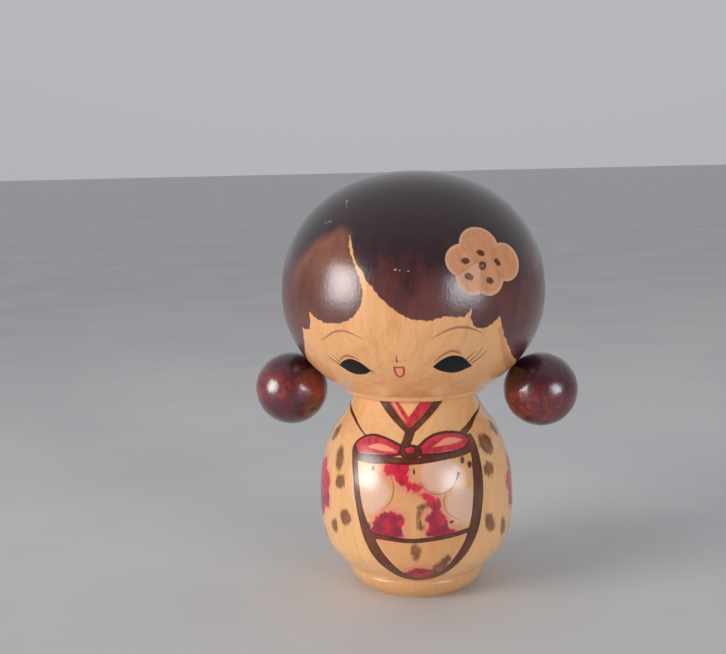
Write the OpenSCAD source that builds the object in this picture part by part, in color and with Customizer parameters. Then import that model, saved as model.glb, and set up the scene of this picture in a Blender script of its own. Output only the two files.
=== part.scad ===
// Wooden kokeshi doll: a turned body with its foot, a big turned head that twists on a
// neck dowel, and two pigtail balls, each held to the head by a short glued peg.
// Millimetres, +Z up, the face looks along -Y, origin at the centre of the resting face.

/* [Head] */
// Largest radius of the head
head_radius = 37.4; // [32:0.1:42]
// Height of the head's widest circle above the resting face
head_middle_z = 85.4; // [83:0.1:88]
// Height of the crown above the widest circle
crown_rise = 34.6; // [30:0.1:38]
// Roundness of the crown, where 2 is an ellipse and more is squarer
crown_power = 2.18; // [2:0.01:2.4]
// Depth of the ellipse that the cheeks and chin follow
cheek_drop = 31.7; // [30:0.1:34]
// Height of the flat under the head
head_base_z = 57.5; // [57:0.1:59]
// How far the head is turned on its dowel, looking down on it
head_turn = -5; // [-180:1:180]

/* [Body] */
// Radius of the resting face
foot_radius = 14.6; // [12:0.1:16]
// Radius of the foot just under its groove
foot_top_radius = 19.7; // [18:0.1:21]
// Height of the turned groove above the resting face
groove_z = 6.5; // [6:0.1:7]
// Depth of the turned groove
groove_depth = 0.6; // [0.3:0.1:1]
// Gap between the body's top and the flat under the head
neck_gap = 0.1; // [0.05:0.05:0.3]

/* [Neck dowel] */
// Radius of the dowel
dowel_radius = 4.5; // [4:0.1:6]
// Radial clearance of the dowel in the head
dowel_clearance = 0.05; // [0.02:0.01:0.1]
// How far the dowel reaches into the body, and into the head
dowel_reach = 18; // [12:1:22]

/* [Pigtails] */
// Radius of each ball
ball_radius = 10.5; // [8:0.1:11]
// Height on the head where each ball touches it
ball_touch_z = 65; // [63:0.5:68]
// Slope of each peg below the horizontal
peg_slope = 45; // [40:1:50]
// Radius of each peg
peg_radius = 1.5; // [1:0.1:2]
// How far each peg reaches into the ball, and into the head
peg_reach = 8; // [5:0.5:9]

/* [Carved flower] */
// How deep the petals are sliced into the head
petal_depth = 0.34; // [0.2:0.02:0.4]

/* [Hidden] */

$fn = 96;
over = 0.5;             // how far a cutter runs past the face it cuts
bore_spare = 0.5;       // empty space past the end of each dowel and peg
foot_power = 2.6;       // roundness of the foot's side
foot_bevel = 0.4;       // broken edge round the resting face
rim_round = 1.5;        // rounding of the edge round the flat under the head
glue_gap = 0.06;        // gap between a ball and the head
head_bands = 44;        // turned bands from the rim to the crown
body_bands = 34;        // turned bands from the groove to the neck
foot_bands = 6;         // turned bands from the resting face to the groove
body_top_z = head_base_z - neck_gap;

// Radius and height of the body where its curve changes
body_stations = [
    [19.5, groove_z], [25.6, 13], [27.7, 20], [28, 28],
    [27.1, 37], [23.9, 46], [19.8, 52], [17.1, body_top_z]
];

// Angle round the head from the face and height of each petal's middle, and its share of the depth
petals = [
    [35.6, 100.6, 1.35], [47.2, 96.2, 1.18], [26.5, 97.2, 0.91],
    [30.2, 93.2, 0.94], [37.4, 92.6, 0.91]
];
petal_block = 16;       // side of the block that slices off a petal

// Slope of the smooth curve through points p at point i, as radius over height
function chord(p, i) = (p[i + 1][0] - p[i][0]) / (p[i + 1][1] - p[i][1]);
function middle_slope(p, i) = (p[i + 1][0] - p[i - 1][0]) / (p[i + 1][1] - p[i - 1][1]);
function slope(p, i) =
    i == 0 ? 2 * chord(p, 0) - middle_slope(p, 1) :
    i == len(p) - 1 ? 2 * chord(p, i - 1) - middle_slope(p, i - 1) :
    middle_slope(p, i);

// Radius at height z on the smooth curve through points p
function span(p, z, i = 0) = (i == len(p) - 2 || z <= p[i + 1][1]) ? i : span(p, z, i + 1);
function hermite(a, b, sa, sb, h, t) =
    a * (2 * t * t * t - 3 * t * t + 1) + sa * h * (t * t * t - 2 * t * t + t) +
    b * (3 * t * t - 2 * t * t * t) + sb * h * (t * t * t - t * t);
function curve_radius(p, z) =
    let (i = span(p, z), h = p[i + 1][1] - p[i][1], t = (z - p[i][1]) / h)
    hermite(p[i][0], p[i + 1][0], slope(p, i), slope(p, i + 1), h, t);

// Radius of the foot at height z
function foot_curve(z) =
    foot_radius + (foot_top_radius - foot_radius) * (1 - pow(1 - z / groove_z, foot_power));

// Radius and height of the head at angle a, from the cheeks (below 0) to the crown (90)
function cheek_point(a) = [head_radius * cos(a), head_middle_z + cheek_drop * sin(a)];
function crown_point(a) = [
    head_radius * pow(cos(a), 2 / crown_power),
    head_middle_z + crown_rise * pow(sin(a), 2 / crown_power)
];
function head_point(a) = a < 0 ? cheek_point(a) : crown_point(a);
function cheek_angle(z) = asin((z - head_middle_z) / cheek_drop);
function crown_radius(z) =
    head_radius * pow(1 - pow((z - head_middle_z) / crown_rise, crown_power), 1 / crown_power);

// Upward tilt of the head's surface at height z on the crown
function crown_tilt(z) = let (r = crown_radius(z), h = z - head_middle_z)
    atan2(
        pow(h / crown_rise, crown_power - 1) / crown_rise,
        pow(r / head_radius, crown_power - 1) / head_radius
    );

rim_start = cheek_angle(head_base_z + rim_round);
rim_radius = cheek_point(rim_start)[0];
rim_flat = rim_radius - rim_round;
touch_radius = cheek_point(cheek_angle(ball_touch_z))[0];
ball_away = ball_radius + glue_gap;
ball_x = touch_radius + ball_away * cos(peg_slope);
ball_z = ball_touch_z - ball_away * sin(peg_slope);

// Turns a piece with the head
module on_head() {
    rotate([0, 0, head_turn]) children();
}

// Puts a peg's axis through the point where a ball touches the head, pointing at the ball
module on_peg_axis(side) {
    mirror([side < 0 ? 1 : 0, 0, 0])
        translate([touch_radius, 0, ball_touch_z])
            rotate([0, 90 + peg_slope, 0]) children();
}

module body() {
    foot = [for (i = [1 : foot_bands])
        let (z = foot_bevel + (groove_z - groove_depth - foot_bevel) * i / foot_bands)
        [foot_curve(z), z]];
    side = [for (i = [1 : body_bands])
        let (z = groove_z + groove_depth + (body_top_z - groove_z - groove_depth) * i / body_bands)
        [curve_radius(body_stations, z), z]];
    profile = concat(
        [[0, 0], [foot_radius - foot_bevel / 2, 0], [foot_curve(foot_bevel), foot_bevel]],
        foot,
        [[body_stations[0][0] - groove_depth, groove_z]],
        side,
        [[0, body_top_z]]
    );
    color([0.86, 0.66, 0.43])
        difference() {
            rotate_extrude() polygon(profile);
            translate([0, 0, body_top_z - dowel_reach - bore_spare])
                cylinder(r = dowel_radius, h = dowel_reach + bore_spare + over);
        }
}

module neck_dowel() {
    color([0.78, 0.6, 0.4])
        translate([0, 0, body_top_z - dowel_reach])
            cylinder(r = dowel_radius, h = 2 * dowel_reach + neck_gap);
}

// A block whose lower face slices one petal out of the crown
module petal_slice(petal) {
    tilt = crown_tilt(petal[1]);
    rotate([0, 0, petal[0]])
        translate([0, -crown_radius(petal[1]), petal[1]])
            rotate([90 - tilt, 0, 0])
                translate([-petal_block / 2, -petal_block / 2, -petal_depth * petal[2]])
                    cube([petal_block, petal_block, petal_block / 4]);
}

module head() {
    profile = concat(
        [[0, head_base_z], [rim_flat, head_base_z]],
        [for (a = [-60 : 30 : -30])
            [rim_flat + rim_round * cos(a), head_base_z + rim_round + rim_round * sin(a)]],
        [for (i = [0 : head_bands - 1]) head_point(rim_start + (90 - rim_start) * i / head_bands)],
        [[0, head_middle_z + crown_rise]]
    );
    color([0.36, 0.21, 0.19])
        on_head()
            difference() {
                rotate_extrude() polygon(profile);
                translate([0, 0, head_base_z - over])
                    cylinder(r = dowel_radius + dowel_clearance, h = dowel_reach + bore_spare + over);
                for (side = [-1, 1])
                    on_peg_axis(side)
                        translate([0, 0, -peg_reach - bore_spare])
                            cylinder(r = peg_radius, h = peg_reach + bore_spare + 2 * over);
                for (petal = petals) petal_slice(petal);
            }
}

module pigtail_ball(side) {
    color([0.4, 0.2, 0.2])
        on_head()
            difference() {
                translate([side * ball_x, 0, ball_z]) sphere(r = ball_radius);
                on_peg_axis(side)
                    cylinder(r = peg_radius, h = glue_gap + peg_reach + bore_spare);
            }
}

module pigtail_peg(side) {
    color([0.8, 0.65, 0.45])
        on_head()
            on_peg_axis(side)
                translate([0, 0, -peg_reach])
                    cylinder(r = peg_radius, h = 2 * peg_reach + glue_gap);
}

body();
neck_dowel();
head();
pigtail_ball(-1);  // left_pigtail_ball
pigtail_ball(1);  // right_pigtail_ball
pigtail_peg(-1);  // left_pigtail_peg
pigtail_peg(1);  // right_pigtail_peg
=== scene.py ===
"""Looks of a turned wooden kokeshi doll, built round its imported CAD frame.

Every paint outline is a list of (angle, height) points on a turned surface: degrees round from
the piece's own front, positive towards +X, and millimetres above the resting face. The turned
meshes are finest round the front. Each of their vertices keeps its distance to the outlines, and
the materials lay each stain or line where its distance is negative.
"""
import math
import bmesh
import bpy
import numpy as np
from mathutils import Matrix, Vector


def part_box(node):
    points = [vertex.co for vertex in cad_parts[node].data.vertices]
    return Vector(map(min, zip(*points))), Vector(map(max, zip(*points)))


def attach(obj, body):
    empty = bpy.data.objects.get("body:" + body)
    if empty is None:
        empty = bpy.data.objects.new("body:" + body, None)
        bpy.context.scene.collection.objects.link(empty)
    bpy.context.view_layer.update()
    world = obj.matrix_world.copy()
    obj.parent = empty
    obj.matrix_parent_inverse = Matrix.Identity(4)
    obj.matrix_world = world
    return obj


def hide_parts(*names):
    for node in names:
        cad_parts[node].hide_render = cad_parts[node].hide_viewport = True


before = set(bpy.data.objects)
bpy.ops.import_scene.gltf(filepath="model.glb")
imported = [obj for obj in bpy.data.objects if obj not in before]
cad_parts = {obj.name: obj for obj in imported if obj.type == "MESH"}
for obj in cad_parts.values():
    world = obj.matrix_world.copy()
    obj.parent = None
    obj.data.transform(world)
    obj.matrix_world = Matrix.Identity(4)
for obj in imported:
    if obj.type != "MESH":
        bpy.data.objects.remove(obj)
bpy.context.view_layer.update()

MM = 0.001
FAR = 4.0             # mm, the most that a distance field says
PAINTED_RADIUS = 17   # mm, about the smallest radius that anything is painted at
STEPS = 6             # points on a smooth curve for each point that it is drawn through


# ---- sizes in mm, from the frame or the same as in the CAD

def box_mm(node):
    """Lowest and highest corner of a CAD node, in mm."""
    low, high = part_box(node)
    return np.array(low) / MM, np.array(high) / MM


HEAD_LOW, HEAD_HIGH = box_mm("head")
_, BODY_HIGH = box_mm("body")
DOWEL_LOW, DOWEL_HIGH = box_mm("neck_dowel")
BALL_LOW, BALL_HIGH = box_mm("right_pigtail_ball")

HEAD_RADIUS = 37.4
HEAD_MIDDLE = 85.4
CROWN_RISE = HEAD_HIGH[2] - HEAD_MIDDLE
CROWN_POWER = 2.18
CHEEK_DROP = 31.7
HEAD_BASE = HEAD_LOW[2]
RIM_ROUND = 1.5
BODY_TOP = BODY_HIGH[2]
GROOVE = 6.5
GROOVE_DEPTH = 0.6
FOOT_RADIUS = 14.6
FOOT_TOP_RADIUS = 19.7
FOOT_POWER = 2.6
BODY_STATIONS = [(19.5, GROOVE), (25.6, 13), (27.7, 20), (28.0, 28),
                 (27.1, 37), (23.9, 46), (19.8, 52), (17.1, BODY_TOP)]
DOWEL_RADIUS = (DOWEL_HIGH[0] - DOWEL_LOW[0]) / 2
DOWEL_CLEARANCE = 0.05
BORE_SPARE = 0.5      # mm, empty space past the end of each dowel and peg
EDGE = 0.1            # mm, broken edge at a bore's mouth and end
BALL_RADIUS = (BALL_HIGH[2] - BALL_LOW[2]) / 2
BALL_MIDDLE = (BALL_LOW + BALL_HIGH) / 2
PEG_SLOPE = math.radians(45)
PEG_RADIUS = 1.5
PEG_REACH = 8.0
HEAD_TURN = math.degrees(math.atan2(BALL_MIDDLE[1], BALL_MIDDLE[0]))


# ---- turned surfaces

CHEEK_POINTS, CROWN_POINTS, RIM_POINTS = 400, 600, 24
BODY_POINTS, FOOT_POINTS = 800, 60


def head_curve():
    """Radius and height of the head from the rounded rim to the crown, closely spaced."""
    rim = math.asin((HEAD_BASE + RIM_ROUND - HEAD_MIDDLE) / CHEEK_DROP)
    low = np.linspace(rim, 0, CHEEK_POINTS)[:-1]
    high = np.linspace(0, math.pi / 2, CROWN_POINTS)
    cheeks = np.stack([HEAD_RADIUS * np.cos(low), HEAD_MIDDLE + CHEEK_DROP * np.sin(low)], 1)
    power = 2 / CROWN_POWER
    crown = np.stack([HEAD_RADIUS * np.abs(np.cos(high)) ** power,
                      HEAD_MIDDLE + CROWN_RISE * np.sin(high) ** power], 1)
    crown[-1, 0] = 0
    turn = np.radians(np.linspace(-90, -25, RIM_POINTS))[:-1]
    flat = cheeks[0, 0] - RIM_ROUND
    edge = np.stack([flat + RIM_ROUND * np.cos(turn),
                     HEAD_BASE + RIM_ROUND + RIM_ROUND * np.sin(turn)], 1)
    return np.concatenate([edge, cheeks, crown])


def body_curve():
    """Radius and height of the body from the resting face to the neck, closely spaced.

    The foot's bevel, the groove's sides and the lip at the neck are small steps in mm.
    """
    radii = np.array([p[0] for p in BODY_STATIONS])
    heights = np.array([p[1] for p in BODY_STATIONS])
    slopes = np.empty_like(radii)
    slopes[1:-1] = (radii[2:] - radii[:-2]) / (heights[2:] - heights[:-2])
    slopes[0] = 2 * (radii[1] - radii[0]) / (heights[1] - heights[0]) - slopes[1]
    slopes[-1] = 2 * (radii[-1] - radii[-2]) / (heights[-1] - heights[-2]) - slopes[-2]
    z = np.linspace(GROOVE + GROOVE_DEPTH, BODY_TOP - 0.3, BODY_POINTS)
    i = np.clip(np.searchsorted(heights, z) - 1, 0, len(heights) - 2)
    step = heights[i + 1] - heights[i]
    t = (z - heights[i]) / step
    side = (radii[i] * (2 * t**3 - 3 * t**2 + 1) + slopes[i] * step * (t**3 - 2 * t**2 + t)
            + radii[i + 1] * (3 * t**2 - 2 * t**3) + slopes[i + 1] * step * (t**3 - t**2))
    foot_z = np.linspace(0.5, GROOVE - GROOVE_DEPTH, FOOT_POINTS)
    rise = 1 - (1 - foot_z / GROOVE) ** FOOT_POWER
    foot = FOOT_RADIUS + (FOOT_TOP_RADIUS - FOOT_RADIUS) * rise
    bevel = [(foot[0] - 0.4, 0.0), (foot[0] - 0.12, 0.16)]
    groove = [(foot[-1] - 0.25, GROOVE - 0.3), (side[0] - GROOVE_DEPTH - 0.1, GROOVE),
              (side[0] - 0.3, GROOVE + 0.35)]
    lip = [(side[-1] - 0.1, BODY_TOP - 0.1), (side[-1] - 0.35, BODY_TOP)]
    return np.concatenate([bevel, np.stack([foot, foot_z], 1), groove,
                           np.stack([side, z], 1), lip])


class Turned:
    """A turned piece's outer surface, reached by angle round it and height."""

    def __init__(self, curve):
        self.curve = curve

    def radius(self, height):
        return np.interp(height, self.curve[:, 1], self.curve[:, 0])

    def place(self, angle, height):
        """Points in mm at these angles (degrees) and heights."""
        a, r = np.radians(angle), self.radius(height)
        return np.stack([r * np.sin(a), -r * np.cos(a), height], -1)


HEAD = Turned(head_curve())
BODY = Turned(body_curve())


# ---- outlines and distances

def smooth(points):
    """A smooth open curve through the points, as a closely spaced array."""
    p = np.array(points, float)
    if len(p) < 3:
        t = np.linspace(0, 1, STEPS + 1)[:, None]
        return p[0] + (p[-1] - p[0]) * t
    p = np.concatenate([[2 * p[0] - p[1]], p, [2 * p[-1] - p[-2]]])
    t = np.linspace(0, 1, STEPS, endpoint=False)[:, None]
    spans = []
    for a, b, c, d in zip(p, p[1:], p[2:], p[3:]):
        spans.append(b + (c - a) / 2 * t + (a - 2.5 * b + 2 * c - d / 2) * t**2
                     + (1.5 * b - 1.5 * c + (d - a) / 2) * t**3)
    return np.concatenate(spans + [p[-2:-1]])


def ring(points):
    """A smooth closed outline through the points."""
    whole = smooth(points[-2:] + points + points[:2])
    return whole[2 * STEPS:-2 * STEPS]


def corners(*runs):
    """An outline of smooth runs that meet in corners."""
    return np.concatenate([smooth(run) if len(run) > 2 else np.array(run, float) for run in runs])


def to_path(points, path):
    """Distance from each point to a path in space, and how far along it, from 0 to 1."""
    best = np.full(len(points), np.inf)
    along = np.zeros(len(points))
    spans = len(path) - 1
    for i in range(spans):
        a, b = path[i], path[i + 1]
        ab = b - a
        t = np.clip((points - a) @ ab / max(ab @ ab, 1e-9), 0, 1)
        away = np.linalg.norm(points - a - t[:, None] * ab, axis=1)
        near = away < best
        best[near] = away[near]
        along[near] = (i + t[near]) / spans
    return best, along


def inside(angle, height, outline):
    """Whether each point on the map lies inside a closed outline."""
    hit = np.zeros(len(angle), bool)
    for (a0, z0), (a1, z1) in zip(outline, np.roll(outline, -1, 0)):
        crosses = (z0 > height) != (z1 > height)
        if z1 != z0:
            hit ^= crosses & (angle < a0 + (height - z0) * (a1 - a0) / (z1 - z0))
    return hit


class Map:
    """The vertices of a turned piece as angles and heights, to draw distance fields on."""

    def __init__(self, surface, points):
        self.surface = surface
        self.points = points
        self.angle = np.degrees(np.arctan2(points[:, 0], -points[:, 1]))
        self.height = points[:, 2]

    def near(self, low, high):
        """The vertices near a rectangle of the map."""
        spare = np.degrees(FAR / PAINTED_RADIUS)
        return np.flatnonzero((self.angle > low[0] - spare) & (self.angle < high[0] + spare)
                              & (self.height > low[1] - FAR) & (self.height < high[1] + FAR))

    def fill(self, outline):
        """Distance to a closed outline, negative inside."""
        field = np.full(len(self.angle), FAR)
        outline = np.array(outline, float)
        pick = self.near(outline.min(0), outline.max(0))
        if len(pick):
            closed = np.concatenate([outline, outline[:1]])
            path = self.surface.place(closed[:, 0], closed[:, 1])
            away, _ = to_path(self.points[pick], path)
            sign = np.where(inside(self.angle[pick], self.height[pick], outline), -1, 1)
            field[pick] = np.clip(away * sign, -FAR, FAR)
        return field

    def stroke(self, points, widths):
        """Distance to a brush stroke whose width in mm runs through the given widths."""
        line = smooth(points)
        field = np.full(len(self.angle), FAR)
        pick = self.near(line.min(0), line.max(0))
        if len(pick):
            path = self.surface.place(line[:, 0], line[:, 1])
            away, along = to_path(self.points[pick], path)
            half = np.interp(along, np.linspace(0, 1, len(widths)), widths) / 2
            field[pick] = np.clip(away - half, -FAR, FAR)
        return field

    def lines(self, strokes):
        """Thin strokes, each its points and widths: signed offset and half width at a vertex.

        Both change evenly across a line, so one thinner than the mesh still comes out clean.
        """
        beside = 0.45          # mm from a line's edge, beyond which a vertex isn't on it
        absent = -1.0          # mm, half the width of a line where it isn't
        flatter = (1, 1, 0.2)  # turns a place into a rough direction out of the surface
        offset = np.full(len(self.angle), FAR)
        half = np.full(len(self.angle), -FAR)
        for points, widths in strokes:
            line = smooth(points)
            pick = self.near(line.min(0), line.max(0))
            path = self.surface.place(line[:, 0], line[:, 1])
            out = path * flatter
            best = np.full(len(pick), np.inf)
            side, past, along = np.zeros((3, len(pick)))
            for i, (a, b) in enumerate(zip(path, path[1:])):
                ab = b - a
                size = np.linalg.norm(ab)
                t = (self.points[pick] - a) @ ab / size**2
                held = np.clip(t, 0, 1)
                away = np.linalg.norm(self.points[pick] - a - held[:, None] * ab, axis=1)
                near = away < best
                best[near] = away[near]
                across = np.cross(out[i], ab)
                across /= np.linalg.norm(across)
                side[near] = ((self.points[pick] - a) @ across)[near]
                before = -t if i == 0 else np.zeros_like(t)
                after = t - 1 if i == len(path) - 2 else np.zeros_like(t)
                past[near] = (np.maximum(np.maximum(before, after), 0) * size)[near]
                along[near] = ((i + held) / (len(path) - 1))[near]
            width = np.interp(along, np.linspace(0, 1, len(widths)), widths) / 2
            width = np.where(np.abs(side) > width + beside, absent, width) - past
            better = width > half[pick]
            offset[pick[better]] = side[better]
            half[pick[better]] = width[better]
        return offset, half

    def spot(self, angle, height, wide, tall, lean=0.0):
        """Distance to a lens-shaped daub, wide and tall in mm, leaning by an angle."""
        middle = self.surface.place(np.array([angle]), np.array([height]))[0]
        across = (self.angle - angle) * math.radians(1) * np.hypot(middle[0], middle[1])
        up = self.height - height
        c, s = math.cos(math.radians(lean)), math.sin(math.radians(lean))
        x, y = across * c + up * s, up * c - across * s
        size = np.hypot(x / (wide / 2), y / (tall / 2))
        return np.clip((size - 1) * min(wide, tall) / 2, -FAR, FAR)


def union(*fields):
    """Distance to the nearest of several shapes."""
    return np.minimum.reduce(fields)


def cut(field, hole):
    """Distance to a shape with a hole in it."""
    return np.maximum(field, -hole)


# ---- the painted head

NAPE = 62.0   # mm, height of the hairline at the back
BACK = 150    # degrees round, beyond which the hairline is level
BELOW = 50.0  # mm, a height under the head, to close the face's outline

# The hairline: from the parting down the lobe and lock on the left and round to the nape, then
# from the parting along the fringe and the side lock and round on the right
LOBE = [(-24.3, 103.8), (-22.3, 100.3), (-19.8, 97.2), (-16.8, 93.6), (-15, 90.5),
        (-15.5, 87), (-17.2, 84.6), (-20.3, 82.8), (-24.5, 81.5), (-30.7, 81.1),
        (-36.5, 81.8), (-41.8, 83.6)]
LOCK = [(-41.8, 83.6), (-42, 81), (-44, 78.9), (-49, 78.9)]
LEFT_HAIRLINE = [(-49, 78.9), (-51.5, 75.5), (-57, 71.9), (-64, 69), (-76, 66.4),
                 (-90, 64.2), (-115, 62.6), (-150, NAPE), (-180, NAPE)]
FRINGE = [(-24.3, 103.8), (-21.9, 101.2), (-19.2, 98.2), (-15.8, 95.1), (-12.4, 92),
          (-8.8, 89.2), (-4.3, 86.3), (-1.6, 84.9), (2.6, 83.5), (8, 82.5), (13, 82.6),
          (18.7, 83.4), (22.3, 83), (25.5, 82.9), (28.6, 84.8)]
SIDE_LOCK = [(28.6, 84.8), (28.7, 82.2), (30.2, 80.2), (33.6, 79.3), (37, 79.8),
             (40.2, 81.2), (42, 82.6)]
RIGHT_HAIRLINE = [(42, 82.6), (44.9, 78.5), (49.8, 74.6), (58.3, 70.4), (71.5, 67.4),
                  (90, 64.4), (115, 62.6), (150, NAPE), (180, NAPE)]
# The far side of the reddish hair round the lobe and the lock
BROWN_HAIR = [(-49, 78.9), (-55, 86), (-54, 95), (-43, 102), (-31, 105), (-24.3, 103.8)]


def face_outline():
    """The bare wood: face, parting and nape."""
    return corners([(-180, BELOW), (-180, NAPE)], LEFT_HAIRLINE[::-1], LOCK[::-1],
                   LOBE[::-1], FRINGE, SIDE_LOCK, RIGHT_HAIRLINE, [(180, NAPE), (180, BELOW)])


LEFT_EYE = corners(
    [(-33, 69.2), (-29, 70.7), (-25.2, 71.5), (-22.2, 71.3), (-19.2, 70.4), (-15.6, 68.3)],
    [(-15.6, 68.3), (-18.8, 67.3), (-22.2, 66.9), (-25.8, 66.9), (-28.9, 67.5), (-33, 69.2)])
RIGHT_EYE = corners(
    [(13.8, 69.6), (16.6, 71.2), (19.2, 72.1), (22, 72.6), (25, 72.4), (27.8, 71.7),
     (30.7, 70.4), (33.8, 68.9)],
    [(33.8, 68.9), (30.8, 68.3), (27.9, 67.6), (24, 67.4), (20.4, 67.8), (16.8, 68.5),
     (13.8, 69.6)])
MOUTH = corners([(-3.9, 69.6), (0.5, 69.6)],
                [(0.5, 69.6), (0.4, 68.1), (-0.3, 67.1), (-1.7, 66.7), (-3.1, 67.1), (-3.8, 68.1),
                 (-3.9, 69.6)])

# Thin strokes: points, and widths in mm. Lashes that touch are in different groups.
FINE_LINES = {
    "lash_a": [
        ([(-32.4, 69.3), (-35.3, 70.6), (-37.9, 71.7)], (0.34, 0.3, 0.1)),
        ([(-30.2, 70.8), (-31.3, 73)], (0.22, 0.08)),
        ([(29.2, 71.2), (33.3, 73.4)], (0.36, 0.14)),
        ([(32.8, 69.8), (36.8, 71.7), (38.9, 73.2)], (0.34, 0.26, 0.1)),
        ([(-2.3, 73.1), (-2.4, 72.2), (-2.2, 71.2)], (0.16, 0.3, 0.55)),
    ],
    "lash_b": [
        ([(-31.6, 70.2), (-34.1, 72.3)], (0.3, 0.08)),
        ([(31.3, 70.4), (34.6, 72.5), (36, 74.2)], (0.32, 0.26, 0.1)),
        ([(-16, 68.4), (-14.6, 67.7)], (0.32, 0.14)),
    ],
    "brow": [
        ([(-37.6, 76.1), (-33.4, 77.5), (-29.8, 78.7), (-27, 79.2), (-24, 79.3),
          (-21.4, 78.9), (-18.8, 78.3), (-15.6, 77.3)], (0.15, 0.4, 0.5, 0.4, 0.3, 0.1)),
        ([(12.5, 77.6), (15.6, 78.7), (19, 79.7), (22.4, 80.2), (26, 80.2), (29, 79.7),
          (31.8, 79), (34.6, 78)], (0.15, 0.4, 0.55, 0.65, 0.4, 0.12)),
        ([(-31.6, 70.4), (-28.4, 71.8), (-25.4, 72.4), (-22.6, 72.1), (-20, 71.3)],
         (0.2, 0.5, 0.5, 0.15)),
        ([(14.3, 70.9), (16.6, 72.4), (18.8, 73.3), (21.2, 73.9), (23.8, 73.6), (26, 73)],
         (0.2, 0.5, 0.6, 0.3)),
    ],
}

# Each petal's angle and height of its middle, and the depth of its flat cut in mm
PETALS = [(35.6, 100.6, 0.46), (47.2, 96.2, 0.40), (26.5, 97.2, 0.31), (30.2, 93.2, 0.32),
          (37.4, 92.6, 0.31)]
# Burnt marks on the petals: angle, height, and lean in degrees
PETAL_MARKS = [(27.7, 97.1, -5), (35.7, 98.9, -15), (43.3, 96.2, -35), (28.5, 93.1, -20),
               (38, 91.7, -15)]
FLOWER_MIDDLE = (35.2, 95.6)
# Chips and scratches in the hair: angle, height, width and height in mm, lean
CHIPS = [
    (-1.6, 95.4, 0.7, 0.5, 20), (0.2, 95.2, 0.4, 0.4, 0), (3.6, 95, 0.6, 0.35, 0),
    (-38, 112.4, 0.5, 0.9, 40), (-36, 111.6, 0.4, 0.8, 40), (-34, 110.8, 0.4, 0.6, 40),
    (-41, 107, 2.6, 0.3, 12),
]
CUT_SLOPE = 0.14  # how steeply a cut's depth grows inward from its edge


def crown_normal(angle, height):
    """The direction square to the crown at a point on it."""
    rise = (height - HEAD_MIDDLE) / CROWN_RISE
    across = float(HEAD.radius(height)) / HEAD_RADIUS
    up = rise ** (CROWN_POWER - 1) / CROWN_RISE
    out = across ** (CROWN_POWER - 1) / HEAD_RADIUS
    a = math.radians(angle)
    return np.array(Vector((out * math.sin(a), -out * math.cos(a), up)).normalized())


def carve(points):
    """Slices the petals flat: the moved points, and distances to the flower and its creases."""
    above = []
    for angle, height, depth in PETALS:
        normal = crown_normal(angle, height)
        base = HEAD.place(np.array([angle]), np.array([height]))[0] - depth * normal
        above.append(((points - base) @ normal, normal))
    heights = np.stack([over for over, _ in above])
    order = np.sort(heights, axis=0)
    deepest = np.argmax(heights, axis=0)
    normals = np.stack([normal for _, normal in above])[deepest]
    cut_by = np.maximum(order[-1], 0)
    crease = np.where(order[-2] > 0, (order[-1] - order[-2]) / CUT_SLOPE, FAR)
    return points - normals * cut_by[:, None], -order[-1] / CUT_SLOPE, np.minimum(crease, FAR)


def head_fields(m):
    """The head's distance fields, by the name of the vertex attribute that holds each."""
    fields = {
        "hair": np.where(np.abs(m.angle) > BACK, NAPE - m.height, -m.fill(face_outline())),
        "eyes": union(m.fill(LEFT_EYE), m.fill(RIGHT_EYE)),
        "mouth": m.fill(MOUTH),
        "sideburn": m.stroke([(43.2, 79), (48.2, 73.6), (57, 68.9), (69, 65.6)],
                             (1.2, 1.9, 2.4, 2.4)),
        "burnt": union(*[m.spot(a, z, 2.3, 1.55, lean) for a, z, lean in PETAL_MARKS],
                       m.spot(*FLOWER_MIDDLE, 2.2, 2.2)),
        "chips": union(*[m.spot(*chip) for chip in CHIPS]),
        "brown_lobe": m.fill(corners(LOBE, LOCK, BROWN_HAIR)),
    }
    for name, strokes in FINE_LINES.items():
        fields[name], fields[name + "_half"] = m.lines(strokes)
    return fields


# ---- the painted kimono

SASH_OUTER = [(-43.5, 46.4), (-44.6, 44.4), (-42.1, 41), (-38.9, 36.1), (-36.3, 30.5),
              (-33.5, 24.9), (-30.9, 20.5), (-27.1, 16.3), (-20.8, 12.1), (-11.5, 8.5),
              (1, 7.4), (13.6, 8.3), (21.7, 10.8), (27.8, 14.3), (33.9, 18.7), (37.9, 23.5),
              (40.6, 29.2), (42.2, 34.9), (43.4, 40.8), (44, 45.1), (42.6, 48.2)]
SASH_INNER = [(38.4, 48), (37.4, 43.8), (35.6, 38.4), (34.2, 32.5), (32.6, 27.2),
              (30.2, 23), (27.4, 19.3), (22.6, 15.4), (17.2, 11.7), (11, 9.5), (4, 8.5),
              (-3, 8.9), (-10, 11.2), (-17.4, 15.6), (-22.6, 19.8), (-28.2, 25.6),
              (-31.6, 30.1), (-33.8, 34.8), (-36.2, 39), (-38.8, 43.4)]
LEFT_BOW_TOP = [(-43.6, 44.6), (-42.5, 46.3), (-37.2, 47.9), (-29.7, 48.6), (-20.6, 48.1),
                (-14.1, 47.3), (-8.6, 46.4)]
LEFT_BOW_BASE = [(-8.6, 46.4), (-9.2, 44.5), (-18.6, 43.8), (-28.3, 43.7), (-40.5, 43.4),
                 (-43.6, 44.6)]
RIGHT_BOW_TOP = [(2.8, 46.4), (8.9, 48.2), (17.4, 49.2), (27.2, 49.2), (35.6, 48.4),
                 (39, 47)]
RIGHT_BOW_BASE = [(39, 47), (36.8, 45.6), (31.1, 44.7), (20.9, 44.3), (11.6, 44.1),
                  (3.2, 44.2), (2.8, 46.4)]
RED_ABOVE = [(-19.8, 41.6), (-11, 42.4), (-3.8, 42.4), (-3.4, 40.4), (-4.2, 38.2),
             (-6.8, 36.6), (-11.2, 37.4), (-14, 38.6), (-17, 38.8), (-19.4, 40)]
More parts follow.
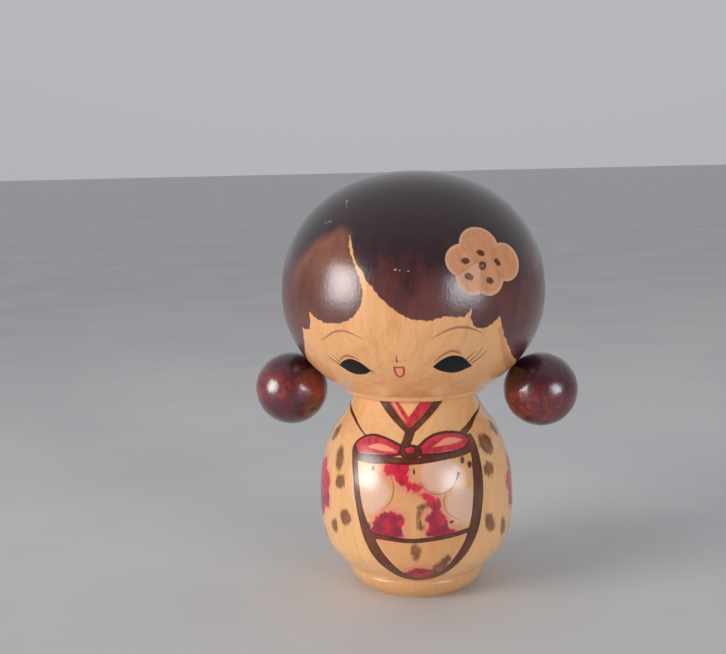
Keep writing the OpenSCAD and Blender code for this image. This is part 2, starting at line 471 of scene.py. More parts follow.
RED_RIGHT = [(6.6, 33.6), (10.4, 32.9), (13.6, 31.4), (14.6, 29.2), (17.4, 26.8), (18.8, 24.2),
             (23.4, 23.5), (20, 22.4), (7.2, 22), (6, 24.4), (7.4, 26), (5.8, 27.4),
             (8.6, 29.8), (6.4, 31.4)]
RED_LEFT = [(-26, 22), (-22.6, 26.8), (-18.6, 28.8), (-13.2, 29.4), (-8, 28.8),
            (-6.8, 26.6), (-8, 24.6), (-8.6, 21.8)]
RED_FOOT = [(-8.6, 9.6), (-5, 11.8), (2, 12.6), (9.2, 11.6), (12.8, 10), (11, 8.4),
            (1, 7.6), (-7, 8.2)]
# Red flowers on the sleeves: angle and height of the middle, radius in mm
SLEEVE_FLOWERS = [(-77, 31, 8.6), (84, 31, 8.6)]
# Brown daubs round the flowers: angle, height, width and height in mm, lean
SLEEVE_DAUBS = [
    (-54.5, 41, 3.8, 6.6, 24), (-49.8, 35, 4.1, 4.1, 20), (-44.6, 25.4, 4.6, 4.5, -12),
    (-55.5, 21.8, 3.4, 4.6, -35), (53.2, 44.6, 6.4, 5.4, -20), (49, 38.2, 4.3, 3.9, 15),
    (46.4, 23.6, 3.8, 6.4, 32), (61, 20.4, 2.8, 6.4, 20), (74, 47.2, 4, 4.4, 10),
    (-72, 46.4, 3.6, 4.6, -5), (96, 44.6, 4.6, 4, -25), (107, 37, 4, 4.4, 5),
    (106, 26, 4.2, 4.6, 30), (80, 17, 3.8, 4.4, -8), (95, 18.5, 3.6, 4.4, -20),
    (-90, 45, 4.2, 4, 22), (-101, 36, 4, 4.4, 0), (-99, 25, 3.8, 4.8, -30),
    (-75, 16.8, 3.6, 4.6, 6), (-88, 18.4, 3.6, 4.4, 20),
]
# The pale circles on the panel: angle, height, width and height in mm
CIRCLES = [(14.1, 39.3, 10.6, 10.6), (-27.4, 33.8, 11.6, 10.8), (27.4, 30, 10.4, 10)]
# Thin arcs round the circles: points, and widths in mm
CIRCLE_ARCS = {
    "arc_a": [
        ([(2.6, 37.4), (4.8, 35.6), (9, 34.3), (14.4, 33.9), (20, 34.9), (24.8, 37.6)],
         (0.15, 0.3, 0.4, 0.45, 0.5)),
        ([(-14.4, 38.6), (-12.7, 36.6), (-12.6, 34.6), (-14.2, 32), (-19.4, 29.3)],
         (0.15, 0.4, 0.45, 0.4, 0.2)),
    ],
    "arc_b": [
        ([(17, 33.6), (15.9, 32.4), (16, 30.6), (18.8, 28), (25, 26.2)],
         (0.45, 0.5, 0.3, 0.3, 0.15)),
    ],
}


def painted_flower(m, angle, z, size):
    """Distance to a red flower with seven petals."""
    petals, notch = 7, 0.22
    radius = float(BODY.radius(z))
    across = ((m.angle - angle + 180) % 360 - 180) * math.radians(1) * radius
    up = m.height - z
    turn = np.arctan2(up, across)
    reach = size * (1 - notch + notch * np.abs(np.cos(petals / 2 * turn + angle)))
    return np.clip(np.hypot(across, up) - reach, -FAR, FAR)


def collar_fields(m):
    """Distances to the collar's outline, its red lining and the bare wood within that."""
    outline = m.fill(corners([(-38.5, 58.2), (-21.5, 53.5), (-7.2, 49.7)],
                             [(-7.2, 49.7), (-8.6, 47.6), (-10.6, 46)],
                             [(-3.6, 46), (-1.4, 48), (0.2, 49.7)],
                             [(0.2, 49.7), (12, 53), (31.5, 58.2)]))
    lining = m.fill(corners([(-26, 58.2), (-14, 53.9), (-5.2, 50.8)],
                            [(-3.4, 50.8), (5.6, 53.4), (20.5, 58.2)]))
    bare = m.fill([(-18, 58.2), (-4.8, 53.4), (8.2, 58.2)])
    return outline, lining, bare


def sash_bars(m):
    """Distance to the bars across the top and bottom of the panel, with a knot on the left."""
    return union(
        m.stroke([(-40.5, 42.7), (-27.7, 42.5), (-18.3, 42.7), (-2.4, 42.6), (7.9, 42.9),
                  (16.8, 43.3), (29.5, 43.8), (38, 44.5)], (1.8, 2, 1.9, 1.7, 1.7, 1.8)),
        m.stroke([(-28.5, 22.4), (-24, 21.8)], (2.2, 2)),
        cut(m.spot(-28.6, 24.6, 2.4, 2.2), m.spot(-28.6, 24.8, 1.4, 1.2)),
        m.stroke([(-29, 22.2), (-16.5, 21.7), (-3.8, 21.2), (8.6, 21.6), (19.8, 22.2),
                  (33, 23.2)], (1.7, 1.4, 1.3, 1.3, 1.4)),
    )


def shoulder_seams(m):
    """Distance to the seam that runs over each shoulder."""
    return union(
        m.stroke([(-94, 54.6), (-77, 53.6), (-59, 51.8), (-47, 49.9), (-37, 48.2)],
                 (0.5, 1, 0.9, 0.6, 0.4)),
        m.stroke([(94, 54.4), (77, 53.3), (58, 51.8), (45.7, 50), (36.5, 48.6)],
                 (0.3, 0.4, 0.9, 1.6, 1.9)),
    )


def panel_marks(m):
    """Distance to the small brown marks on the panel and at the collar's point."""
    return union(
        m.stroke([(24, 37.2), (26, 38.8)], (0.3, 0.8)),
        m.spot(-0.8, 40, 0.6, 1.7),
        m.spot(20, 26, 1.4, 0.8, 20),
        m.spot(29.9, 42, 1.3, 2, -20), m.spot(34.4, 40.6, 1.3, 1.9, -10),
        m.spot(-25.6, 40.4, 0.9, 1.4), m.spot(-7.2, 50.3, 1.1, 1),
    )


def red_flowers(m):
    """Distance to the red on the panel, at the foot of the sash and on the sleeves."""
    return union(
        *[m.fill(ring(outline)) for outline in (RED_ABOVE, RED_RIGHT, RED_LEFT, RED_FOOT)],
        m.spot(-3.6, 36, 2.7, 2.3), m.spot(-0.6, 35.7, 2.4, 2.5), m.spot(2.8, 35.9, 1.8, 1.9),
        m.stroke([(3.4, 34), (6.4, 33.4), (10, 32.4)], (0.9, 1.5, 1.8)),
        *[painted_flower(m, *flower) for flower in SLEEVE_FLOWERS],
    )


def brown_daubs(m):
    """Distance to the brown daubs on the sleeves, on the panel and below it."""
    return union(
        *[m.spot(*daub) for daub in SLEEVE_DAUBS],
        m.spot(-0.4, 18, 2.6, 4.6),
        m.spot(3.4, 30.7, 3, 1.8, 8),
        m.stroke([(2, 29.4), (1.4, 27.2), (2.6, 24.8)], (0.9, 1.2, 1.6)),
        m.stroke([(11.6, 10.8), (14.8, 13), (18.2, 15.4)], (2.6, 3.6, 2.2)),
    )


def pale_streaks(m):
    """Distance to the pale streaks in both loops of the bow and in the collar's lining."""
    return union(
        m.fill(corners([(-33, 45.5), (-26, 46.6), (-18, 46.2), (-11.5, 44.9)],
                       [(-11.5, 44.9), (-19, 44.9), (-27, 45.2), (-33, 45.5)])),
        m.fill(corners([(11.5, 46), (20, 47.7), (27, 47.9), (34.5, 47)],
                       [(34.5, 47), (27, 46.4), (19, 46.2), (11.5, 46)])),
        m.stroke([(-21, 57.6), (-11.6, 53.8), (-7, 52.2)], (0.9, 0.6, 0.3)),
    )


def kimono_fields(m):
    """The body's distance fields, by the name of the vertex attribute that holds each."""
    left_bow = m.fill(corners(LEFT_BOW_TOP, LEFT_BOW_BASE))
    right_bow = m.fill(corners(RIGHT_BOW_TOP, RIGHT_BOW_BASE))
    bow_edges = union(np.abs(left_bow) - 0.35, np.abs(right_bow) - 0.4)
    knot_edge = cut(m.spot(-3, 45, 6.4, 3.7), m.spot(-3.2, 45.4, 2.6, 1.7))
    knot = m.spot(-3.2, 45.4, 3, 2.1)
    collar, lining, bare = collar_fields(m)
    sash = m.fill(corners(SASH_OUTER, SASH_INNER))
    fields = {
        "brown": union(cut(collar, lining), sash, bow_edges, knot_edge, sash_bars(m),
                       shoulder_seams(m), panel_marks(m)),
        "red": red_flowers(m),
        "bows": union(left_bow, right_bow, knot, cut(lining, bare)),
        "daubs": brown_daubs(m),
        "circles": union(*[m.spot(*circle) for circle in CIRCLES]),
        "streaks": pale_streaks(m),
        "inside": m.fill(corners(SASH_INNER[::-1], [(38.4, 48), (-40.2, 43.4)])),
    }
    for name, strokes in CIRCLE_ARCS.items():
        fields[name], fields[name + "_half"] = m.lines(strokes)
    return fields


# ---- meshes

def spaced(curve, spacing):
    """Points along a close curve, at the spacing that their height asks for."""
    steps = np.linalg.norm(np.diff(curve, axis=0), axis=1)
    length = np.concatenate([[0], np.cumsum(steps)])
    stops = [0.0]
    while stops[-1] < length[-1]:
        z = np.interp(stops[-1], length, curve[:, 1])
        stops.append(stops[-1] + np.interp(z, *zip(*spacing)))
    stops = np.array(stops) * length[-1] / stops[-1]
    return np.stack([np.interp(stops, length, curve[:, 0]),
                     np.interp(stops, length, curve[:, 1])], 1)


def angles_round(fine_to, fine, coarse):
    """Angles round a piece, closer together within fine_to degrees of the front."""
    front = np.linspace(-fine_to, fine_to, round(2 * fine_to / fine) + 1)
    back = np.linspace(fine_to, 360 - fine_to, round((360 - 2 * fine_to) / coarse) + 1)[1:-1]
    return np.concatenate([front, back])


def spin(rows, angles):
    """Points and faces of a closed turned solid, whose first and last rows are on its axis."""
    a = np.radians(angles)
    middle = np.array(rows[1:-1])
    points = np.stack([np.outer(middle[:, 0], np.sin(a)), -np.outer(middle[:, 0], np.cos(a)),
                       np.repeat(middle[:, 1:], len(a), 1)], -1).reshape(-1, 3)
    start, end = len(points), len(points) + 1
    points = np.concatenate([points, [[0, 0, rows[0][1]], [0, 0, rows[-1][1]]]])
    here = np.arange(len(a))
    following = np.roll(here, -1)
    low = len(a) * np.arange(len(middle) - 1)[:, None]
    quads = np.stack([low + here, low + following, low + len(a) + following,
                      low + len(a) + here], -1).reshape(-1, 4)
    last = len(a) * (len(middle) - 1)
    faces = quads.tolist()
    faces += [(start, j, i) for i, j in zip(here.tolist(), following.tolist())]
    faces += [(last + i, last + j, end) for i, j in zip(here.tolist(), following.tolist())]
    return points, faces


def bore(radius, mouth, end):
    """Profile of a blind bore with broken edges, from its end to its mouth."""
    inward = math.copysign(EDGE, end - mouth)
    return [(0, end), (radius - EDGE, end), (radius, end - inward),
            (radius, mouth + inward), (radius + EDGE, mouth)]


def add_object(name, data):
    """A new object in the scene."""
    thing = bpy.data.objects.new(name, data)
    bpy.context.scene.collection.objects.link(thing)
    return thing


def make_piece(name, points, faces, body, node, fields=None, turn=0.0):
    """A piece from points in mm, which rides on a body and stands for a CAD node."""
    mesh = bpy.data.meshes.new(name)
    mesh.from_pydata(points.tolist(), [], faces)
    mesh.shade_smooth()
    for label, values in (fields or {}).items():
        layer = mesh.attributes.new(label, "FLOAT", "POINT")
        layer.data.foreach_set("value", np.asarray(values, np.float32))
    mesh.transform(Matrix.Rotation(math.radians(turn), 4, "Z") @ Matrix.Scale(MM, 4))
    piece = add_object(name, mesh)
    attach(piece, body)
    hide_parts(node)
    return piece


def make_head():
    """The turned head, bored for its dowel, with the flower sliced into it."""
    outer = spaced(HEAD.curve, [(57, 0.5), (62, 0.5), (63, 0.27), (106, 0.27), (109, 0.9)])
    hollow = bore(DOWEL_RADIUS + DOWEL_CLEARANCE, HEAD_BASE, DOWEL_HIGH[2] + BORE_SPARE)
    under = [(outer[0, 0] - 2, HEAD_BASE), (outer[0, 0] - 0.2, HEAD_BASE)]
    around = angles_round(fine_to=56, fine=0.42, coarse=2.0)
    points, faces = spin(np.concatenate([hollow, under, outer]), around)
    fields = head_fields(Map(HEAD, points))
    points, fields["flower"], fields["crease"] = carve(points)
    return make_piece("doll_head", points, faces, "head", "head", fields, HEAD_TURN)


def make_body():
    """The turned body with its foot and groove, bored for the dowel."""
    outer = spaced(BODY.curve, [(0, 0.3), (0.6, 0.6), (5.4, 0.5), (5.8, 0.14), (7.2, 0.2),
                                (7.6, 0.28), (57, 0.28)])
    under = [(0, 0), (FOOT_RADIUS * 0.5, 0), (FOOT_RADIUS * 0.9, 0)]
    over = [(DOWEL_RADIUS + 5, BODY_TOP)]
    hollow = bore(DOWEL_RADIUS, BODY_TOP, DOWEL_LOW[2] - BORE_SPARE)[::-1]
    around = angles_round(fine_to=118, fine=0.75, coarse=2.4)
    points, faces = spin(np.concatenate([under, outer, over, hollow]), around)
    fields = kimono_fields(Map(BODY, points))
    return make_piece("kimono_body", points, faces, "body", "body", fields)


def make_ball(side):
    """A turned ball bored for its peg, with the faint ridges and end flat of its turning."""
    ridges, ridge_depth = 15, 0.02      # in a full turn, and mm to each side of their middle
    flat_narrow, flat_depth = 80, 0.05  # narrower the higher it is, and mm
    profile_points = 110
    rows = bore(PEG_RADIUS, -BALL_RADIUS, -BALL_RADIUS + PEG_REACH + BORE_SPARE)[:3]
    start = math.asin(PEG_RADIUS / BALL_RADIUS)
    for t in np.linspace(start, math.pi, profile_points):
        ridge = ridge_depth * (1 + math.cos(ridges * t))
        flat = flat_depth * max(0.0, -math.cos(t)) ** flat_narrow
        radius = BALL_RADIUS - (ridge + flat)
        rows.append((radius * math.sin(t), -radius * math.cos(t)))
    points, faces = spin(rows, angles_round(fine_to=90, fine=3.0, coarse=3.0))
    lean = Matrix.Rotation(side * (math.pi / 2 + PEG_SLOPE), 3, "Y")
    across = math.hypot(BALL_MIDDLE[0], BALL_MIDDLE[1])
    points = points @ np.array(lean).T + (side * across, 0, BALL_MIDDLE[2])
    word = "left" if side < 0 else "right"
    return make_piece(word + "_ball", points, faces, "head", word + "_pigtail_ball",
                      turn=HEAD_TURN)


# ---- materials

LACQUER_IOR = 1.55
RING_SPACING = 3.4  # mm between growth rings


def srgb(red, green, blue):
    """A colour given as 0 to 255 display values, for a shader socket."""
    def linear(v):
        v /= 255
        return v / 12.92 if v <= 0.04045 else ((v + 0.055) / 1.055) ** 2.4
    return (linear(red), linear(green), linear(blue), 1.0)


def grey(value):
    """A plain number for a colour socket."""
    return (value, value, value, 1)


class Finish:
    """A material's nodes, put together a step at a time."""

    def __init__(self, name):
        self.material = bpy.data.materials.new(name)
        self.material.use_nodes = True
        self.tree = self.material.node_tree
        self.shader = self.tree.nodes["Principled BSDF"]
        where = self.node("TexCoord").outputs["Object"]
        self.where = self.stretch(where, 1 / MM, 1 / MM, 1 / MM)

    def node(self, kind):
        return self.tree.nodes.new("ShaderNode" + kind)

    def feed(self, socket, value):
        """Links a node's output to a socket, or sets the socket to a plain value."""
        if isinstance(value, bpy.types.NodeSocket):
            self.tree.links.new(value, socket)
        else:
            socket.default_value = value

    def stretch(self, vector, x, y, z):
        node = self.node("VectorMath")
        node.operation = "MULTIPLY"
        self.feed(node.inputs[0], vector)
        self.feed(node.inputs[1], (x, y, z))
        return node.outputs[0]

    def math(self, operation, first, second=0.0):
        node = self.node("Math")
        node.operation = operation
        self.feed(node.inputs[0], first)
        self.feed(node.inputs[1], second)
        return node.outputs[0]

    def add(self, first, second):
        return self.math("ADD", first, second)

    def times(self, first, second):
        return self.math("MULTIPLY", first, second)

    def mix(self, share, first, second):
        """The first colour, with this share of the second in it."""
        node = self.node("Mix")
        node.data_type = "RGBA"
        first_colour, second_colour, mixed = node.inputs[6], node.inputs[7], node.outputs[2]
        self.feed(node.inputs["Factor"], share)
        self.feed(first_colour, first)
        self.feed(second_colour, second)
        return mixed

    def ramp(self, value, start, end, low=0.0, high=1.0):
        """Smoothly from low to high as the value goes from start to end."""
        node = self.node("MapRange")
        node.interpolation_type = "SMOOTHSTEP"
        for socket, number in zip(node.inputs[:5], (value, start, end, low, high)):
            self.feed(socket, number)
        return node.outputs[0]

    def noise(self, size, detail, z=1.0, rough=0.5):
        """Noise round 0.5 in grains of this size in mm, drawn out upright where z is below 1."""
        node = self.node("TexNoise")
        self.feed(node.inputs["Vector"], self.stretch(self.where, 1.0, 1.0, z))
        node.inputs["Scale"].default_value = 1 / size
        node.inputs["Detail"].default_value = detail
        node.inputs["Roughness"].default_value = rough
        return node.outputs[0]

    def spread(self, noise, amount):
        """Noise as a number from about -amount to amount."""
        return self.times(self.add(noise, -0.5), 2 * amount)

    def field(self, name):
        """A distance field that the mesh holds, in mm."""
        node = self.node("Attribute")
        node.attribute_name = name
        return node.outputs["Fac"]

    def place(self):
        """X, Y and Z in mm."""
        node = self.node("SeparateXYZ")
        self.feed(node.inputs[0], self.where)
        return node.outputs

    def height_mm(self):
        return self.place()["Z"]

    def rings(self, pith_x, pith_y, spacing):
        """Growth rings round an upright pith, from 0 to 1 across each ring."""
        place = self.place()
        x = self.add(place["X"], -pith_x)
        y = self.add(place["Y"], -pith_y)
        reach = self.math("SQRT", self.add(self.times(x, x), self.times(y, y)))
        wander = self.spread(self.noise(16, 2, z=0.25), 3.0)  # mm
        return self.math("FRACT", self.times(self.add(reach, wander), 1 / spacing))

    def finish(self, colour, rough, bump, depth_mm, coat, coat_rough, specular=0.1):
        """Ends the material: a colour and its relief under this much of a lacquer coat."""
        node = self.node("Bump")
        node.inputs["Distance"].default_value = depth_mm * MM
        self.feed(node.inputs["Height"], bump)
        looks = {
            "Base Color": colour, "Roughness": rough, "Normal": node.outputs[0],
            "Coat Normal": node.outputs[0], "Coat Weight": coat, "Coat IOR": LACQUER_IOR,
            "Specular IOR Level": specular, "Coat Roughness": coat_rough,
        }
        for name, value in looks.items():
            self.feed(self.shader.inputs[name], value)
        return self.material


def wood(f, pale, deep, pith=(44.0, 60.0)):
    """Pale close-grained wood with rings round a pith, X and Y in mm: its colour and relief."""
    figure = f.ramp(f.rings(*pith, RING_SPACING), 0.45, 1.0)
    fibre = f.noise(0.42, 3, z=0.035, rough=0.6)
    blotch = f.noise(9, 2, z=0.4)
    streak = f.noise(1.5, 2, z=0.07)
    share = f.add(f.times(figure, 0.1), f.add(f.times(f.spread(fibre, 0.5), 0.75),
                                              f.add(f.spread(blotch, 0.16),
                                                    f.spread(streak, 0.3))))
    colour = f.mix(f.ramp(share, -0.35, 0.75), pale, deep)
    pores = f.ramp(f.noise(0.3, 1, z=0.06), 0.70, 0.80)
    colour = f.mix(f.times(pores, 0.22), colour, srgb(120, 74, 40))
    return colour, fibre


def thin(f, name, soft, uneven):
    """Where a group of thin strokes covers the surface, from 0 to 1."""
    half = f.add(f.field(name + "_half"), uneven)
    return f.ramp(f.add(f.math("ABSOLUTE", f.field(name)), f.times(half, -1)), soft, -soft)


def lay(f, below, colour, field, soft, share=1.0, ragged=None):
    """Lays a colour where the distance is negative: the new colour, and where it lies.

    The edge is soft by this many mm, and made ragged by a second field in mm.
    """
    if ragged is not None:
        field = f.add(field, ragged)
    mask = f.ramp(field, soft, -soft)
    if share != 1.0:
        mask = f.times(mask, share)
    return f.mix(mask, below, colour), mask


def face_paint(f, colour, fine):
    """Sideburn, mouth, brows, lashes and eyes, painted on the colour of the wood."""
    colour, _ = lay(f, colour, srgb(196, 122, 78), f.field("sideburn"), 0.5, 0.55, fine)
    colour, _ = lay(f, colour, srgb(247, 158, 122), f.field("mouth"), 0.1, 0.9, fine)
    lips = f.add(f.math("ABSOLUTE", f.field("mouth")), -0.3)
    colour, _ = lay(f, colour, srgb(180, 58, 38), lips, 0.09, 0.95, fine)
    colour = f.mix(f.times(thin(f, "brow", 0.12, fine), 0.7), colour, srgb(132, 80, 54))
    for group in ("lash_a", "lash_b"):
        colour = f.mix(f.times(thin(f, group, 0.07, fine), 0.9), colour, srgb(84, 44, 26))
    return lay(f, colour, srgb(8, 6, 7), f.field("eyes"), 0.08, 1.0, fine)


def hair_stain(f):
    """The hair's colour: nearly black on the crown, warmer lower down and round the lobe."""
    streak = f.noise(0.6, 4, z=0.08, rough=0.6)
    dapple = f.noise(5, 3, z=0.6)
    low = f.ramp(f.height_mm(), 113, 84)
    warm = f.ramp(f.add(f.add(low, f.spread(dapple, 0.6)), f.spread(streak, 0.2)), 0.3, 1.25)
    hair = f.mix(warm, srgb(48, 29, 33), srgb(104, 54, 50))
    lobe = f.ramp(f.add(f.field("brown_lobe"), f.spread(dapple, 2.5)), 2.0, -2.0)
    top = f.ramp(f.height_mm(), 86, 106, -0.2, 0.2)
    lit = f.ramp(f.add(top, f.add(f.times(streak, 0.4), dapple)), 0.25, 1.15)
    return f.mix(lobe, hair, f.mix(lit, srgb(92, 50, 42), srgb(140, 82, 58)))


def flower_finish(f, colour, fibre):
    """The carved flower's bare wood, burnt marks, painted shade and highlight: the colour, and
    where the wood and marks are.
    """
    bare, _ = wood(f, srgb(222, 156, 114), srgb(188, 120, 82))
    # Painted shade: a dark line round the edge of the cut flower.
    edge = f.ramp(f.math("ABSOLUTE", f.field("flower")), 0.35, 0.1, 0.0, 0.6)
    colour = f.mix(edge, colour, srgb(48, 24, 18))
    # Painted highlight: a paler band on the bare wood just inside the cut's edge.
    rim = f.ramp(f.add(f.field("flower"), f.spread(fibre, 0.5)), -1.0, -0.3, 0.0, 0.45)
    bare = f.mix(rim, bare, srgb(232, 192, 160))
    colour, flower = lay(f, colour, bare, f.field("flower"), 0.1)
    # Painted shade: darker along the creases where the petals meet.
    colour = f.mix(f.ramp(f.field("crease"), 0.5, 0.0, 0.0, 0.3), colour, srgb(140, 86, 54))
    mark_edge = f.add(f.math("ABSOLUTE", f.add(f.field("burnt"), 0.38)), -0.42)
    ragged = f.spread(f.noise(0.6, 3), 0.3)
    colour, burnt = lay(f, colour, srgb(82, 34, 18), mark_edge, 0.2, 0.92, ragged)
    # Painted shade: darker patches over the petals, for the gouge's shallow hollows.
    petal_shade = f.ramp(f.noise(1.5, 3), 0.62, 0.78, 0.0, 0.45)
    colour = f.mix(f.times(petal_shade, flower), colour, srgb(150, 88, 62))
    return colour, flower, burnt


def head_finish():
    """Bare face, stained hair and carved flower under lacquer, thin on the flower and eyes."""
    f = Finish("painted_head")
    colour, fibre = wood(f, srgb(240, 180, 122), srgb(214, 142, 86))
    teeth = f.spread(f.noise(0.7, 2, z=0.35), 0.55)
    wave = f.spread(f.noise(2.6, 1, z=0.5), 0.5)
    ragged = f.add(teeth, wave)
    fine = f.spread(f.noise(0.22, 1), 0.03)
    colour, eyes = face_paint(f, colour, fine)
    hair = hair_stain(f)
    colour, hair_mask = lay(f, colour, hair, f.field("hair"), 0.16, 1.0, ragged)
    colour, flower, burnt = flower_finish(f, colour, fibre)
    peel = f.noise(1.1, 2)
    relief = f.add(f.times(fibre, 0.5), f.add(f.times(peel, 0.5), f.times(burnt, -3.0)))
    colour, _ = lay(f, colour, srgb(206, 190, 186), f.field("chips"), 0.1, 0.7, fine)
    rough = f.mix(hair_mask, grey(0.42), grey(0.34))
    coat = f.ramp(f.math("MAXIMUM", flower, f.times(eyes, 0.7)), 0.0, 1.0, 1.0, 0.25)
    return f.finish(colour, rough, relief, depth_mm=0.05, coat=coat, coat_rough=0.22)


def red_dye(f, colour, bleed):
    """The red flowers: mottled, deeper low down, with a pink halo."""
    halo = f.ramp(f.add(f.field("red"), f.spread(f.noise(2.5, 2), 0.8)), 2.6, -0.2, 0.0, 0.5)
    colour = f.mix(halo, colour, srgb(224, 120, 118))
    deep = f.add(f.noise(2.2, 3), f.ramp(f.height_mm(), 38, 24, -0.08, 0.1))
    red = f.mix(f.ramp(deep, 0.28, 0.74), srgb(212, 22, 56), srgb(132, 4, 46))
    return lay(f, colour, red, f.field("red"), 0.45, 0.96, bleed)[0]


def bow_dye(f, colour, fine):
    """The crimson of the bow and the collar's lining, and its pale streaks."""
    mottle = f.ramp(f.noise(1.6, 3, z=0.4), 0.35, 0.65)
    crimson = f.mix(mottle, srgb(214, 46, 64), srgb(170, 24, 50))
    colour, _ = lay(f, colour, crimson, f.field("bows"), 0.12, 0.96, fine)
    return lay(f, colour, srgb(246, 154, 124), f.field("streaks"), 0.3, 0.9, fine)[0]


def daub_stain(f, colour, grainy):
    """The brown daubs, with dry upright strokes at their edges."""
    mottle = f.ramp(f.noise(1.4, 3, z=0.5), 0.3, 0.7)
    scorch = f.mix(mottle, srgb(84, 38, 18), srgb(138, 78, 42))
    ragged = f.add(f.times(grainy, 1.6), f.spread(f.noise(2.0, 2), 0.7))
    return lay(f, colour, scorch, f.field("daubs"), 0.55, 0.88, ragged)[0]


def brown_lines(f, colour, fine, grainy):
    """The thin arcs, then the dark lines of sash, bow and collar: the colour, and where."""
    for group in ("arc_a", "arc_b"):
        colour = f.mix(f.times(thin(f, group, 0.16, fine), 0.62), colour, srgb(128, 88, 54))
    umber = f.mix(f.ramp(f.noise(0.9, 3, z=0.12), 0.2, 0.8), srgb(54, 13, 7), srgb(100, 34, 14))
    umber = f.mix(f.ramp(f.noise(7, 2), 0.45, 0.7, 0.0, 0.35), umber, srgb(148, 84, 52))
    umber = f.mix(f.ramp(f.field("brown"), -0.7, -0.1, 0.0, 0.6), umber, srgb(42, 10, 8))
    lines = f.field("brown")
    ragged = f.add(fine, f.times(grainy, 0.2))
    return lay(f, colour, umber, lines, 0.12, 0.96, ragged)


def kimono_finish():
    """Bare wood with the dyes and dark lines of the kimono and sash, under lacquer."""
    f = Finish("painted_kimono")
    colour, fibre = wood(f, srgb(240, 186, 128), srgb(216, 152, 90), pith=(-52.0, 48.0))
    # Painted shade: the foot, below the groove, is darker.
    foot = f.ramp(f.height_mm(), GROOVE + 1, GROOVE - 1, 0.0, 0.45)
    colour = f.mix(foot, colour, srgb(176, 126, 82))
    colour, _ = lay(f, colour, srgb(208, 138, 80), f.field("inside"), 1.6, 0.5)
    fine = f.spread(f.noise(0.25, 1), 0.05)
    bleed = f.add(f.spread(f.noise(0.8, 2, z=0.5), 0.9), f.spread(f.noise(2.4, 1), 1.0))
    grainy = f.spread(f.noise(0.5, 3, z=0.12), 0.5)
    colour, _ = lay(f, colour, srgb(230, 192, 178), f.field("circles"), 0.8, 0.55, bleed)
    colour = red_dye(f, colour, bleed)
    colour = bow_dye(f, colour, fine)
    colour = daub_stain(f, colour, grainy)
    colour, brown = brown_lines(f, colour, fine, grainy)
    peel = f.noise(1.2, 2)
    relief = f.add(f.times(fibre, 0.5), f.add(f.times(peel, 0.5), f.times(brown, -0.6)))
    rough = f.mix(brown, grey(0.4), grey(0.36))
    return f.finish(colour, rough, relief, depth_mm=0.035, coat=1.0, coat_rough=0.2)


def ball_finish(name, size, ember, glow):
    """Dark plum stain, mottled red round the height glow, where ember says how bright."""
    f = Finish(name)
    big = f.noise(size, 3, rough=0.55)
    fine = f.noise(1.1, 4, z=0.7, rough=0.65)
    low = f.ramp(f.math("ABSOLUTE", f.add(f.height_mm(), -glow)), 8, 1)
    share = f.add(f.add(f.spread(big, 0.8), f.spread(fine, 0.7)), f.times(low, 0.6))
    colour = f.mix(f.ramp(share, -0.2, 0.45), srgb(46, 18, 28), srgb(92, 28, 38))
    colour = f.mix(f.ramp(share, 0.45, 1.05, 0.0, ember), colour, srgb(172, 56, 40))
    peel = f.noise(1.0, 2)
    relief = f.add(f.times(fine, 0.4), f.times(peel, 0.6))
    rough = f.mix(f.ramp(share, 0, 0.5), grey(0.3), grey(0.38))
    return f.finish(colour, rough, relief, depth_mm=0.06, coat=1.0, coat_rough=0.18,
                    specular=0.35)


def dowel_finish():
    """Bare wood without lacquer, for the dowel and the pegs."""
    f = Finish("bare_dowel_wood")
    colour, fibre = wood(f, srgb(214, 170, 118), srgb(180, 128, 80))
    return f.finish(colour, 0.62, fibre, depth_mm=0.04, coat=0.0, coat_rough=0.3)


def floor_finish():
    """A pale, faintly clouded floor."""
    f = Finish("pale_floor")
    cloud = f.noise(90, 3)
    colour = f.mix(f.ramp(cloud, 0.3, 0.7), srgb(214, 214, 213), srgb(221, 221, 219))
    return f.finish(colour, 0.55, f.noise(0.8, 2), depth_mm=0.02, coat=0.0, coat_rough=0.3)


# ---- camera, floor and light

LAMP_DISTANCE = 1.1       # m from the point that the lamps aim at
LAMP_AIM = (0, 0, 0.07)   # m
LAMP_SPREAD = 60          # degrees


def make_camera():
    """A close view from the height of the doll's crown, looking a little down."""
    distance, height = 313.0, 120.9           # mm from the doll's axis, and up
    side, heading, pitch, roll = 0.25, 2.9, -8.21, -1.33  # degrees
    data = bpy.data.cameras.new("camera")
    data.sensor_width = 36.0
    data.lens = 54.5
    data.clip_start = 0.01
    camera = add_object("camera", data)
    a = math.radians(side)
    camera.location = Vector((math.sin(a) * distance, -math.cos(a) * distance, height)) * MM
    aim = Matrix.Rotation(math.radians(heading), 3, "Z") \
        @ Matrix.Rotation(math.radians(90 + pitch), 3, "X") \
        @ Matrix.Rotation(math.radians(roll), 3, "Z")
    camera.rotation_euler = aim.to_euler()
    bpy.context.scene.camera = camera


def make_floor():
    """A wide floor, level with the face that the doll stands on."""
    mesh = bpy.data.meshes.new("floor")
    bm = bmesh.new()
    bmesh.ops.create_grid(bm, x_segments=8, y_segments=8, size=30.0)
    bm.to_mesh(mesh)
    bm.free()
    floor = add_object("floor", mesh)
    floor.data.materials.append(floor_finish())


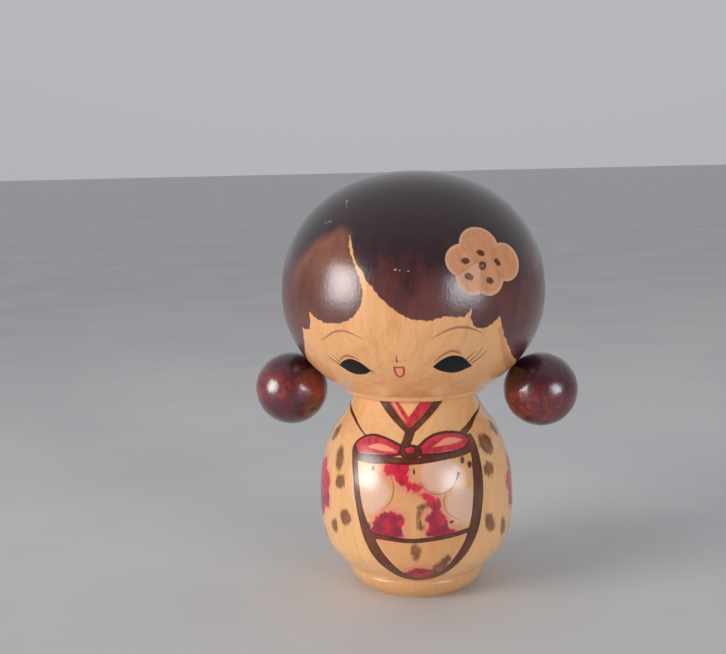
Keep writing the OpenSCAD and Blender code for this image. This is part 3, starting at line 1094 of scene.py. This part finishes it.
def make_light(name, azimuth, elevation, wide, tall, power, colour):
    """A soft rectangular light at a direction from the doll, azimuth 0 in front of it."""
    data = bpy.data.lights.new(name, "AREA")
    data.shape = "RECTANGLE"
    data.size, data.size_y = wide, tall
    data.energy = power
    data.color = colour
    data.spread = math.radians(LAMP_SPREAD)
    light = add_object(name, data)
    a, e = math.radians(azimuth), math.radians(elevation)
    way = Vector((math.sin(a) * math.cos(e), -math.cos(a) * math.cos(e), math.sin(e)))
    light.location = way * LAMP_DISTANCE + Vector(LAMP_AIM)
    light.rotation_mode = "QUATERNION"
    light.rotation_quaternion = way.to_track_quat("Z", "Y")


def make_world():
    """A room that is dim on the camera's side and pale behind and above the doll."""
    up_and_back = (0.0, 0.62, 0.70)
    limits = {"From Min": -0.35, "From Max": 0.75, "To Min": 0.10, "To Max": 0.51}
    world = bpy.data.worlds.new("studio")
    bpy.context.scene.world = world
    world.use_nodes = True
    nodes, links = world.node_tree.nodes, world.node_tree.links
    sky = nodes["Background"]
    way = nodes.new("ShaderNodeTexCoord").outputs["Generated"]
    slope = nodes.new("ShaderNodeVectorMath")
    slope.operation = "DOT_PRODUCT"
    links.new(way, slope.inputs[0])
    slope.inputs[1].default_value = up_and_back
    share = nodes.new("ShaderNodeMapRange")
    share.interpolation_type = "SMOOTHSTEP"
    links.new(slope.outputs["Value"], share.inputs["Value"])
    for name, value in limits.items():
        share.inputs[name].default_value = value
    links.new(share.outputs["Result"], sky.inputs["Strength"])
    sky.inputs["Color"].default_value = (0.93, 0.95, 1.0, 1)


make_camera()
make_floor()
make_world()
make_light("window_left", azimuth=-61, elevation=9.5, wide=0.62, tall=0.5, power=1.45,
           colour=(1.0, 0.98, 0.99))
make_light("window_right", azimuth=45, elevation=6, wide=0.6, tall=0.36, power=0.74,
           colour=(0.86, 0.91, 1.0))

make_head().data.materials.append(head_finish())
make_body().data.materials.append(kimono_finish())
left_stain = ball_finish("stained_ball_left", size=6.5, ember=0.7, glow=59.0)
make_ball(-1).data.materials.append(left_stain)
right_stain = ball_finish("stained_ball_right", size=7.1, ember=1.0, glow=55.0)
make_ball(1).data.materials.append(right_stain)
bare_wood = dowel_finish()
for node in ("neck_dowel", "left_pigtail_peg", "right_pigtail_peg"):
    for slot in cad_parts[node].material_slots:
        slot.material = bare_wood

bpy.context.scene.view_settings.view_transform = "Standard"
